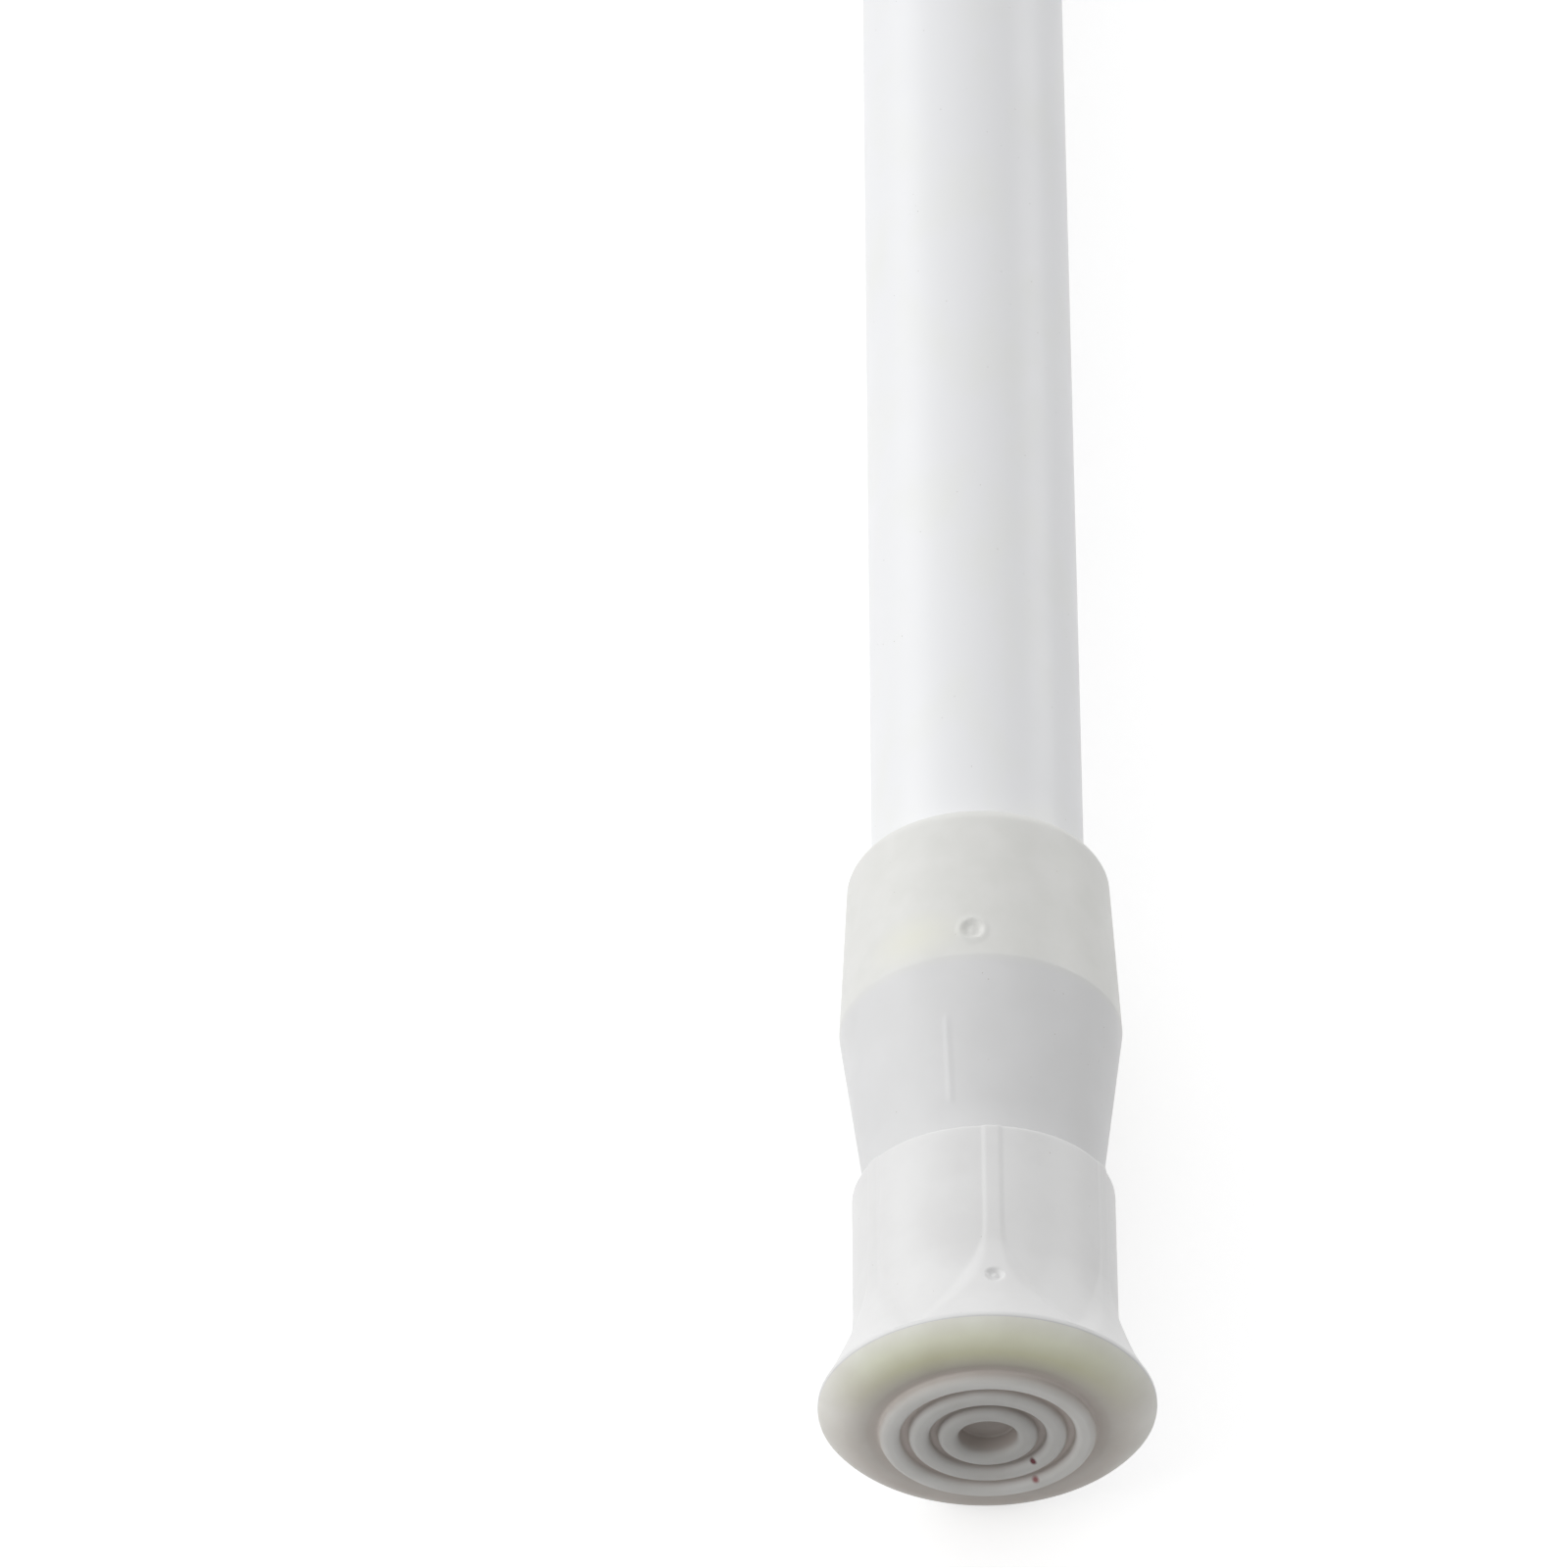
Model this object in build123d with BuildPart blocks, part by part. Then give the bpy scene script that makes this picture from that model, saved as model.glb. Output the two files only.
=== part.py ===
# Telescoping spring tension curtain rod, shown closed.
# The rod lies along X with +Z up, and the origin is on its axis, midway between the
# two wall faces. The thick tube's closed end is at -X and the thin tube's cap at +X.
import os
from math import cos, radians, sin

from build123d import *

# Rod and its two tubes
CLOSED_LENGTH = 700.0
OUTER_TUBE_RADIUS = 11.0
OUTER_TUBE_WALL = 0.5
INNER_TUBE_RADIUS = 9.5
INNER_TUBE_WALL = 0.5

# Clearances
PRESS_GAP = 0.03
RUNNING_GAP = 0.08
SLIDING_GAP = 0.1
END_PLAY = 0.2
CAP_TO_COLLAR = 0.4

# End caps: a straight skirt, a flare and a thin band at the flange
CAP_RADIUS = 13.3
CAP_SKIRT_LENGTH = 14.0
CAP_FLARE_LENGTH = 10.9
CAP_BAND = 0.5
FLANGE_RADIUS = 16.9
FLANGE_EDGE_CHAMFER = 0.2
CAP_FLOOR = 2.4
CAP_SKIRT_WALL = 1.5
CAP_RIM_CHAMFER = 0.4
CAP_TURN = 2.6
CORE_DEPTH = 4.0
CORE_WALL = 1.2
CORE_FLANGE_WALL = 2.3
CORE_TIP_WIDTH = 0.4

# Petals let into the cap between its lands
PETALS = 6
PETAL_HALF_WIDTH = 5.85
PETAL_SHOULDER_RADIUS = 15.8
PETAL_SHOULDER_ROUND = 2.2
PETAL_TIP_RADIUS = 16.76
PANEL_FLANGE_RADIUS = 16.4
LAND_RADIUS = 13.45
LAND_SAG = 0.35

# Ribs in the socket that hold the tube
SOCKET_RIBS = 6
RIB_WIDTH = 1.2
RIB_RECESS = 3.0
RIB_ROOT = 0.4

# Wall pads
PAD_RADIUS = 16.5
PAD_HEIGHT = 3.6
PAD_DOME = 2.5
PAD_DOME_RADIUS = 11.3
PAD_DOME_BULGE = 0.8
PAD_RECESS_RADIUS = 2.8
PAD_RECESS_DEPTH = 1.2
PAD_RINGS = (3.95, 6.85, 9.75)
PAD_RING_WIDTH = 2.4
PAD_RING_SIDE_ANGLE = 85.0
PAD_RING_ROOT = 1.4
STEM_RADIUS = 3.0
STEM_BARB_RADIUS = 4.0
STEM_BARB_LENGTH = 3.0
STEM_TIP_RADIUS = 2.0

# Joint collar on the thick tube's open end
COLLAR_LENGTH = 39.4
COLLAR_SOCKET_DEPTH = 19.2
COLLAR_BACK_FACE_RADIUS = 11.6
COLLAR_BACK_RADIUS = 13.55
COLLAR_BACK_BEVEL = 1.8
COLLAR_WAIST_RADIUS = 14.5
COLLAR_FRONT_RADIUS = 11.9
COLLAR_WAIST_ROUND = 2.5
COLLAR_FRONT_CHAMFER = 0.5
COLLAR_THROAT_CHAMFER = 0.5

# Guide bush and glide ring at the thin tube's inner end
BUSH_PLUG_LENGTH = 15.0
BUSH_NECK_RADIUS = 8.0
BUSH_NECK_LENGTH = 6.0
BUSH_HEAD_LENGTH = 2.0
GLIDE_RING_SLOT = 1.6
CLIP_POCKET_DEPTH = 1.4
CLIP_POCKET_GAP = 0.5

# Spindle
SPINDLE_RADIUS = 3.0
SPINDLE_FLAT = 2.4
SPINDLE_SHOULDER_RADIUS = 5.5
SPINDLE_SHOULDER = 2.5
SPINDLE_END_CHAMFER = 0.6
SPINDLE_GUIDE_LENGTH = 45.0
THREAD_PITCH = 2.0
LOCK_TURNS = 1.0
SPRING_TRAVEL = 25.0
TRAVEL_MARGIN = 1.5
CLIP_RADIUS = 5.0
CLIP_THICKNESS = 0.8
CLIP_GROOVE_DEPTH = 0.5
CLIP_OPENING = 3.0

# Spring, its washer and its seat
WASHER_RADIUS = 8.4
WASHER_THICKNESS = 1.5
SPRING_LENGTH = 74.0
SPRING_RADIUS = 6.6
SPRING_WIRE_RADIUS = 0.9
SPRING_COILS = 8
SPRING_WIRE_SIDES = 6
SEAT_LENGTH = 8.0
SEAT_SPIGOT_LENGTH = 4.0
SEAT_SPIGOT_RADIUS = 5.4
SEAT_BORE_RADIUS = 2.0

# Lock: slotted sleeve, keyed cone, washer and nut
SLEEVE_LENGTH = 23.0
SLEEVE_WEB = 10.5
SLEEVE_SLOTS = 4
SLEEVE_SLOT_WIDTH = 2.4
SLEEVE_SLOT_LENGTH = 18.0
CONE_LENGTH = 16.0
CONE_ENTRY = 9.0
CONE_SMALL_RADIUS = 6.3
CONE_LARGE_RADIUS = 8.3
KEY_WIDTH = 2.0
KEY_RADIUS = 9.6
KEY_ROOT_RADIUS = 5.0
STOP_WASHER_RADIUS = 6.0
STOP_WASHER_THICKNESS = 1.2
STOP_NUT_ACROSS_FLATS = 10.0
STOP_NUT_HEIGHT = 5.0
SPINDLE_TIP = 1.5
SPINDLE_TO_PAD = 4.2

# Places along the rod
CAP_LENGTH = CAP_BAND + CAP_FLARE_LENGTH + CAP_SKIRT_LENGTH
FLANGE_X = CLOSED_LENGTH / 2 - PAD_HEIGHT
TUBE_STOP_X = FLANGE_X - CAP_FLOOR
RIM_X = FLANGE_X - CAP_LENGTH
COLLAR_FRONT_X = RIM_X - CAP_TO_COLLAR
COLLAR_BACK_X = COLLAR_FRONT_X - COLLAR_LENGTH
COLLAR_SHOULDER_X = COLLAR_BACK_X + COLLAR_SOCKET_DEPTH

# The lock and the spring follow one another from the thick tube's closed end. Drawn out
# by 500 mm, the thin tube still reaches about 60 mm into the thick one.
SPINDLE_END_X = -TUBE_STOP_X + STEM_BARB_LENGTH + SPINDLE_TO_PAD
STOP_NUT_X = SPINDLE_END_X + SPINDLE_TIP
STOP_WASHER_X = STOP_NUT_X + STOP_NUT_HEIGHT
CONE_BACK_X = STOP_WASHER_X + STOP_WASHER_THICKNESS + END_PLAY
CONE_FRONT_X = CONE_BACK_X + CONE_LENGTH
SLEEVE_MOUTH_X = CONE_FRONT_X - CONE_ENTRY
SLEEVE_BACK_X = SLEEVE_MOUTH_X + SLEEVE_LENGTH
SHOULDER_X = SLEEVE_BACK_X + END_PLAY + SPINDLE_SHOULDER

BUSH_TIP_X = SHOULDER_X + SPRING_TRAVEL + TRAVEL_MARGIN
BUSH_HEAD_X = BUSH_TIP_X + BUSH_HEAD_LENGTH
INNER_TUBE_END_X = BUSH_HEAD_X + BUSH_NECK_LENGTH
BUSH_FACE_X = INNER_TUBE_END_X + BUSH_PLUG_LENGTH
SPINDLE_GUIDE_X = BUSH_FACE_X + SPINDLE_GUIDE_LENGTH
CLIP_X = BUSH_FACE_X - END_PLAY - CLIP_THICKNESS
WASHER_X = BUSH_FACE_X + END_PLAY
SPRING_X = WASHER_X + WASHER_THICKNESS
SEAT_X = SPRING_X + SPRING_LENGTH

OUTER_BORE = OUTER_TUBE_RADIUS - OUTER_TUBE_WALL
INNER_BORE = INNER_TUBE_RADIUS - INNER_TUBE_WALL
SOCKET_RADIUS = CAP_RADIUS - CAP_SKIRT_WALL
CONE_SLOPE = (CONE_LARGE_RADIUS - CONE_SMALL_RADIUS) / CONE_LENGTH
CONE_GAP = THREAD_PITCH * LOCK_TURNS * CONE_SLOPE + RUNNING_GAP

# Each end's own frame has its origin on the flange's wall side and +Z into the rod
OUTER_END = Plane(origin=(-FLANGE_X, 0, 0), x_dir=(0, 1, 0), z_dir=(1, 0, 0))
INNER_END = Plane(
    origin=(FLANGE_X, 0, 0),
    x_dir=(0, cos(radians(CAP_TURN)), -sin(radians(CAP_TURN))),
    z_dir=(-1, 0, 0),
)


def cross_section(x):
    """The plane across the rod at x, facing +X."""
    return Plane.YZ.offset(x)


def petal_cutter():
    """What the petals take away between the flare of the lands and the deeper flare of the panels."""
    with BuildSketch() as outline:
        with BuildLine():
            tip = ThreePointArc(
                (PETAL_SHOULDER_RADIUS, PETAL_HALF_WIDTH),
                (PETAL_TIP_RADIUS, 0),
                (PETAL_SHOULDER_RADIUS, -PETAL_HALF_WIDTH),
            )
            Polyline(tip @ 1, (0, -PETAL_HALF_WIDTH), (0, PETAL_HALF_WIDTH), tip @ 0)
        make_face()
        fillet(outline.vertices().group_by(Axis.X)[-1], PETAL_SHOULDER_ROUND)
    petal = outline.sketch
    with BuildPart() as cutter:
        with BuildSketch():
            with PolarLocations(0, PETALS):
                add(petal)
        extrude(amount=CAP_LENGTH)
        with BuildSketch(Plane.XZ):
            with BuildLine():
                flare = TangentArc(
                    (CAP_RADIUS, CAP_BAND + CAP_FLARE_LENGTH),
                    (PANEL_FLANGE_RADIUS, CAP_BAND),
                    tangent=(0, -1),
                )
                Polyline(
                    flare @ 1,
                    (FLANGE_RADIUS, CAP_BAND),
                    (FLANGE_RADIUS, 0),
                    (0, 0),
                    (0, CAP_LENGTH),
                    (CAP_RADIUS, CAP_LENGTH),
                    flare @ 0,
                )
            make_face()
        revolve(axis=Axis.Z, mode=Mode.SUBTRACT)
    return cutter.part


def end_cap(tube_radius):
    """A flared cap with petals outside and a ribbed socket for a tube of this radius inside."""
    petals = petal_cutter()
    rib_inner = tube_radius + PRESS_GAP
    rib_outer = SOCKET_RADIUS + RIB_ROOT
    with BuildPart() as cap:
        with BuildSketch(Plane.XZ):
            with BuildLine():
                flare = SagittaArc(
                    (FLANGE_RADIUS, CAP_BAND),
                    (LAND_RADIUS, CAP_BAND + CAP_FLARE_LENGTH),
                    LAND_SAG,
                )
                Polyline(
                    flare @ 1,
                    (LAND_RADIUS, CAP_LENGTH),
                    (SOCKET_RADIUS, CAP_LENGTH),
                    (SOCKET_RADIUS, CAP_FLOOR),
                    (STEM_RADIUS + SLIDING_GAP, CAP_FLOOR),
                    (STEM_RADIUS + SLIDING_GAP, 0),
                    (FLANGE_RADIUS, 0),
                    flare @ 0,
                )
            make_face()
        revolve(axis=Axis.Z)
        rims = cap.edges().filter_by(GeomType.CIRCLE).group_by(Axis.Z)
        chamfer(rims[-1], CAP_RIM_CHAMFER)
        chamfer(rims[0].sort_by(SortBy.RADIUS)[-1], FLANGE_EDGE_CHAMFER)
        add(petals, mode=Mode.SUBTRACT)
        with BuildSketch(Plane.XZ):
            with BuildLine():
                Polyline(
                    (SOCKET_RADIUS + CORE_WALL, 0),
                    (FLANGE_RADIUS - CORE_FLANGE_WALL, 0),
                    (SOCKET_RADIUS + CORE_WALL + CORE_TIP_WIDTH, CORE_DEPTH),
                    (SOCKET_RADIUS + CORE_WALL, CORE_DEPTH),
                    close=True,
                )
            make_face()
        revolve(axis=Axis.Z, mode=Mode.SUBTRACT)
        with BuildSketch(Plane.XY.offset(CAP_FLOOR)):
            with PolarLocations((rib_inner + rib_outer) / 2, SOCKET_RIBS):
                Rectangle(rib_outer - rib_inner, RIB_WIDTH)
        extrude(amount=CAP_LENGTH - CAP_FLOOR - RIB_RECESS)
    return cap.part


def wall_pad():
    """A soft pad with three raised rings, held by a barbed stem through the cap's floor."""
    with BuildPart() as pad:
        with BuildSketch(Plane.XZ):
            with BuildLine():
                bulge = SagittaArc(
                    (PAD_RADIUS, 0),
                    (PAD_DOME_RADIUS, -PAD_DOME),
                    PAD_DOME_BULGE,
                )
                Polyline(
                    bulge @ 1,
                    (PAD_RECESS_RADIUS, -PAD_DOME),
                    (PAD_RECESS_RADIUS, PAD_RECESS_DEPTH - PAD_DOME),
                    (0, PAD_RECESS_DEPTH - PAD_DOME),
                    (0, CAP_FLOOR + STEM_BARB_LENGTH),
                    (STEM_TIP_RADIUS, CAP_FLOOR + STEM_BARB_LENGTH),
                    (STEM_BARB_RADIUS, CAP_FLOOR + END_PLAY),
                    (STEM_RADIUS, CAP_FLOOR + END_PLAY),
                    (STEM_RADIUS, 0),
                    bulge @ 0,
                )
            make_face()
        revolve(axis=Axis.Z)
        for ring_radius in PAD_RINGS:
            with BuildSketch(Plane.XZ):
                with Locations((ring_radius, -(PAD_RING_ROOT + PAD_HEIGHT) / 2)):
                    Trapezoid(PAD_RING_WIDTH, PAD_HEIGHT - PAD_RING_ROOT, PAD_RING_SIDE_ANGLE, rotation=180)
            revolve(axis=Axis.Z)
    return pad.part


# Thick tube with its cap, pad and collar
with BuildPart() as outer_tube:
    with BuildSketch(cross_section(-TUBE_STOP_X)):
        Circle(OUTER_TUBE_RADIUS)
        Circle(OUTER_BORE, mode=Mode.SUBTRACT)
    extrude(amount=TUBE_STOP_X + COLLAR_SHOULDER_X)

with BuildPart(OUTER_END) as outer_end_cap:
    add(end_cap(OUTER_TUBE_RADIUS))

with BuildPart(OUTER_END) as outer_wall_pad:
    add(wall_pad())

with BuildPart() as joint_collar:
    with BuildSketch(Plane.XZ):
        with BuildLine():
            bevel = RadiusArc(
                (COLLAR_BACK_X, COLLAR_BACK_FACE_RADIUS),
                (COLLAR_BACK_X + COLLAR_BACK_BEVEL, COLLAR_BACK_RADIUS),
                COLLAR_BACK_BEVEL,
            )
            Polyline(
                bevel @ 1,
                (COLLAR_SHOULDER_X, COLLAR_WAIST_RADIUS),
                (COLLAR_FRONT_X, COLLAR_FRONT_RADIUS),
                (COLLAR_FRONT_X, INNER_TUBE_RADIUS + RUNNING_GAP),
                (COLLAR_SHOULDER_X, INNER_TUBE_RADIUS + RUNNING_GAP),
                (COLLAR_SHOULDER_X, OUTER_TUBE_RADIUS + PRESS_GAP),
                (COLLAR_BACK_X, OUTER_TUBE_RADIUS + PRESS_GAP),
                bevel @ 0,
            )
        make_face()
    revolve(axis=Axis.X)
    circles = joint_collar.edges().filter_by(GeomType.CIRCLE)
    front = circles.group_by(Axis.X)[-1].sort_by(SortBy.RADIUS)
    fillet(circles.sort_by(SortBy.RADIUS)[-1], COLLAR_WAIST_ROUND)
    chamfer(front[-1], COLLAR_FRONT_CHAMFER)
    chamfer(front[0], COLLAR_THROAT_CHAMFER)

# Thin tube with its cap and pad
with BuildPart() as inner_tube:
    with BuildSketch(cross_section(INNER_TUBE_END_X)):
        Circle(INNER_TUBE_RADIUS)
        Circle(INNER_BORE, mode=Mode.SUBTRACT)
    extrude(amount=TUBE_STOP_X - INNER_TUBE_END_X)

with BuildPart(INNER_END) as inner_end_cap:
    add(end_cap(INNER_TUBE_RADIUS))

with BuildPart(INNER_END) as inner_wall_pad:
    add(wall_pad())

# Split ring that runs in the thick tube's bore, round the bush's neck
with BuildPart() as glide_ring:
    with BuildSketch(cross_section(BUSH_HEAD_X + END_PLAY)):
        Circle(OUTER_BORE - RUNNING_GAP)
        Circle(BUSH_NECK_RADIUS + RUNNING_GAP, mode=Mode.SUBTRACT)
        with Locations((0, -OUTER_BORE)):
            Rectangle(GLIDE_RING_SLOT, OUTER_BORE, mode=Mode.SUBTRACT)
    extrude(amount=BUSH_NECK_LENGTH - 2 * END_PLAY)

# Bush in the thin tube's end: plug, neck and head, with a bore keyed to the spindle's flats
with BuildPart() as guide_bush:
    with BuildSketch(Plane.XZ):
        with BuildLine():
            Polyline(
                (BUSH_TIP_X, 0),
                (BUSH_TIP_X, INNER_TUBE_RADIUS),
                (BUSH_HEAD_X, INNER_TUBE_RADIUS),
                (BUSH_HEAD_X, BUSH_NECK_RADIUS),
                (INNER_TUBE_END_X, BUSH_NECK_RADIUS),
                (INNER_TUBE_END_X, INNER_BORE - PRESS_GAP),
                (BUSH_FACE_X, INNER_BORE - PRESS_GAP),
                (BUSH_FACE_X, CLIP_RADIUS + CLIP_POCKET_GAP),
                (BUSH_FACE_X - CLIP_POCKET_DEPTH, CLIP_RADIUS + CLIP_POCKET_GAP),
                (BUSH_FACE_X - CLIP_POCKET_DEPTH, 0),
                close=True,
            )
        make_face()
    revolve(axis=Axis.X)
    with BuildSketch(cross_section(BUSH_TIP_X)):
        Circle(SPINDLE_RADIUS + RUNNING_GAP)
        Rectangle(
            2 * (SPINDLE_RADIUS + RUNNING_GAP), 2 * (SPINDLE_FLAT + RUNNING_GAP), mode=Mode.INTERSECT
        )
    extrude(amount=BUSH_FACE_X - BUSH_TIP_X, mode=Mode.SUBTRACT)

# Plug that carries the spring's far end, with a spigot inside the coils
with BuildPart() as spring_seat:
    with BuildSketch(cross_section(SEAT_X)):
        Circle(INNER_BORE - PRESS_GAP)
    extrude(amount=SEAT_LENGTH)
    with BuildSketch(cross_section(SEAT_X)):
        Circle(SEAT_SPIGOT_RADIUS)
    extrude(amount=-SEAT_SPIGOT_LENGTH)
    with BuildSketch(cross_section(SEAT_X - SEAT_SPIGOT_LENGTH)):
        Circle(SEAT_BORE_RADIUS)
    extrude(amount=SEAT_SPIGOT_LENGTH + SEAT_LENGTH, mode=Mode.SUBTRACT)

# Coil spring between the washer and the seat
with BuildPart() as compression_spring:
    with BuildLine():
        coil_length = SPRING_LENGTH - 2 * (SPRING_WIRE_RADIUS + END_PLAY)
        coil = Helix(
            pitch=coil_length / SPRING_COILS,
            height=coil_length,
            radius=SPRING_RADIUS,
            center=(SPRING_X + END_PLAY + SPRING_WIRE_RADIUS, 0, 0),
            direction=(1, 0, 0),
        )
    with BuildSketch(Plane(origin=coil @ 0, z_dir=coil % 0)):
        RegularPolygon(SPRING_WIRE_RADIUS, SPRING_WIRE_SIDES)
    sweep(is_frenet=True)

with BuildPart() as spring_washer:
    with BuildSketch(cross_section(WASHER_X)):
        Circle(WASHER_RADIUS)
        Circle(SPINDLE_RADIUS + SLIDING_GAP, mode=Mode.SUBTRACT)
    extrude(amount=WASHER_THICKNESS)

# Spindle: round thread end, shoulder, then a flatted stem that ends as the spring's guide
with BuildPart() as spindle:
    with BuildSketch(cross_section(SPINDLE_END_X)):
        Circle(SPINDLE_RADIUS)
    extrude(amount=SPINDLE_GUIDE_X - SPINDLE_END_X)
    thread_end = spindle.edges().filter_by(GeomType.CIRCLE).sort_by(Axis.X)[0]
    chamfer(thread_end, SPINDLE_END_CHAMFER)
    with BuildSketch(cross_section(SHOULDER_X)):
        with Locations((0, SPINDLE_RADIUS), (0, -SPINDLE_RADIUS)):
            Rectangle(2 * SPINDLE_RADIUS, 2 * (SPINDLE_RADIUS - SPINDLE_FLAT))
    extrude(amount=SPINDLE_GUIDE_X - SHOULDER_X, mode=Mode.SUBTRACT)
    with BuildSketch(cross_section(SHOULDER_X)):
        Circle(SPINDLE_SHOULDER_RADIUS)
    extrude(amount=-SPINDLE_SHOULDER)
    with BuildSketch(cross_section(CLIP_X - SLIDING_GAP)):
        Circle(SPINDLE_RADIUS)
        Circle(SPINDLE_RADIUS - CLIP_GROOVE_DEPTH, mode=Mode.SUBTRACT)
    extrude(amount=CLIP_THICKNESS + 2 * SLIDING_GAP, mode=Mode.SUBTRACT)

# Open retaining clip in the spindle's groove
with BuildPart() as spindle_clip:
    with BuildSketch(cross_section(CLIP_X)):
        Circle(CLIP_RADIUS)
        Circle(SPINDLE_RADIUS - CLIP_GROOVE_DEPTH + SLIDING_GAP, mode=Mode.SUBTRACT)
        with Locations((0, -CLIP_RADIUS)):
            Rectangle(CLIP_OPENING, CLIP_RADIUS, mode=Mode.SUBTRACT)
    extrude(amount=CLIP_THICKNESS)

# Sleeve with slotted fingers, bored to a taper at its mouth
with BuildPart() as lock_sleeve:
    with BuildSketch(Plane.XZ):
        with BuildLine():
            Polyline(
                (SLEEVE_MOUTH_X, OUTER_BORE - SLIDING_GAP),
                (SLEEVE_BACK_X, OUTER_BORE - SLIDING_GAP),
                (SLEEVE_BACK_X, SPINDLE_RADIUS + RUNNING_GAP),
                (SLEEVE_BACK_X - SLEEVE_WEB, SPINDLE_RADIUS + RUNNING_GAP),
                (SLEEVE_BACK_X - SLEEVE_WEB, CONE_SMALL_RADIUS + CONE_GAP),
                (CONE_FRONT_X, CONE_SMALL_RADIUS + CONE_GAP),
                (SLEEVE_MOUTH_X, CONE_SMALL_RADIUS + CONE_GAP + CONE_ENTRY * CONE_SLOPE),
                close=True,
            )
        make_face()
    revolve(axis=Axis.X)
    with BuildSketch(cross_section(SLEEVE_MOUTH_X)):
        with PolarLocations(OUTER_BORE - CONE_SMALL_RADIUS / 2, SLEEVE_SLOTS):
            Rectangle(CONE_SMALL_RADIUS, SLEEVE_SLOT_WIDTH)
    extrude(amount=SLEEVE_SLOT_LENGTH, mode=Mode.SUBTRACT)

# Tapered nut whose keys run in the sleeve's slots
with BuildPart() as lock_cone:
    with BuildSketch(Plane.XZ):
        with BuildLine():
            Polyline(
                (CONE_BACK_X, SPINDLE_RADIUS + RUNNING_GAP),
                (CONE_BACK_X, CONE_LARGE_RADIUS),
                (CONE_FRONT_X, CONE_SMALL_RADIUS),
                (CONE_FRONT_X, SPINDLE_RADIUS + RUNNING_GAP),
                close=True,
            )
        make_face()
    revolve(axis=Axis.X)
    with BuildSketch(cross_section(CONE_BACK_X)):
        with PolarLocations((KEY_RADIUS + KEY_ROOT_RADIUS) / 2, SLEEVE_SLOTS):
            Rectangle(KEY_RADIUS - KEY_ROOT_RADIUS, KEY_WIDTH)
    extrude(amount=CONE_LENGTH)

with BuildPart() as stop_washer:
    with BuildSketch(cross_section(STOP_WASHER_X)):
        Circle(STOP_WASHER_RADIUS)
        Circle(SPINDLE_RADIUS + SLIDING_GAP, mode=Mode.SUBTRACT)
    extrude(amount=STOP_WASHER_THICKNESS)

with BuildPart() as stop_nut:
    with BuildSketch(cross_section(STOP_NUT_X)):
        RegularPolygon(STOP_NUT_ACROSS_FLATS / 2, 6, major_radius=False)
        Circle(SPINDLE_RADIUS + PRESS_GAP, mode=Mode.SUBTRACT)
    extrude(amount=STOP_NUT_HEIGHT)

pieces = {
    "outer_tube": outer_tube,
    "joint_collar": joint_collar,
    "outer_end_cap": outer_end_cap,
    "outer_wall_pad": outer_wall_pad,
    "inner_tube": inner_tube,
    "inner_end_cap": inner_end_cap,
    "inner_wall_pad": inner_wall_pad,
    "glide_ring": glide_ring,
    "guide_bush": guide_bush,
    "spring_seat": spring_seat,
    "compression_spring": compression_spring,
    "spring_washer": spring_washer,
    "spindle": spindle,
    "spindle_clip": spindle_clip,
    "lock_sleeve": lock_sleeve,
    "lock_cone": lock_cone,
    "stop_washer": stop_washer,
    "stop_nut": stop_nut,
}
os.makedirs("parts", exist_ok=True)
for piece_name, piece in pieces.items():
    piece.part.label = piece_name
    export_step(piece.part, f"parts/{piece_name}.step")
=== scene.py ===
"""Looks of the telescoping tension curtain rod: fine forms, finishes, floor, light and camera."""
import math

import bmesh
import bpy
import numpy as np
from mathutils import Matrix, Quaternion, Vector


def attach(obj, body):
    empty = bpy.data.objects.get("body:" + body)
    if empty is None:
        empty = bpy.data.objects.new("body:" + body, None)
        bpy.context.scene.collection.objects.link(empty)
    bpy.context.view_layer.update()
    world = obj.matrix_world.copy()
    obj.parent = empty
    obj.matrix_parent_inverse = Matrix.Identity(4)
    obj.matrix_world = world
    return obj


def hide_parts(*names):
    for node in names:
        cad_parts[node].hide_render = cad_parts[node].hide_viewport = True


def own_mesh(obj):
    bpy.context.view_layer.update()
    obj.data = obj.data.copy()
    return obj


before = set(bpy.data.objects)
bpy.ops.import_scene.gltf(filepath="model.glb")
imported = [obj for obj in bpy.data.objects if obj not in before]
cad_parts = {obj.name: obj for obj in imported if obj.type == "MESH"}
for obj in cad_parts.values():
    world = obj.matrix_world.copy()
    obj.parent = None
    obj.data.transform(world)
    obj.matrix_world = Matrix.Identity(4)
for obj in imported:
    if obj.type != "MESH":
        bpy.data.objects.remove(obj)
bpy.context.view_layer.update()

MM = 0.001

# The picture's frame, and where the inner cap's rim lies in it, in mm from the camera's axis
PICTURE_SIZE = 1600
FOCAL_PIXELS = 10250.0
SENSOR_WIDTH = 36.0
CAMERA_ELEVATION = math.radians(53.31)
CAMERA_ROLL = math.radians(0.2)
CLIP_START = 0.05
CLIP_END = 20.0
RIM_RIGHT = 20.15
RIM_DOWN = 41.87
RIM_DEPTH = 1013.9

# Places along the rod, in mm from the middle
FLANGE_X = 346.4
TUBE_STOP_X = 344.0
RIM_X = 321.0
COLLAR_BACK_X = 281.2
COLLAR_SHOULDER_X = 300.4
INNER_TUBE_END_X = -261.7
SPRING_X = -245.0
SEAT_X = -171.0

# Tubes
OUTER_TUBE_RADIUS = 11.0
INNER_TUBE_RADIUS = 9.5
TUBE_WALL = 0.5
TUBE_EDGE_ROUND = 0.2

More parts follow.
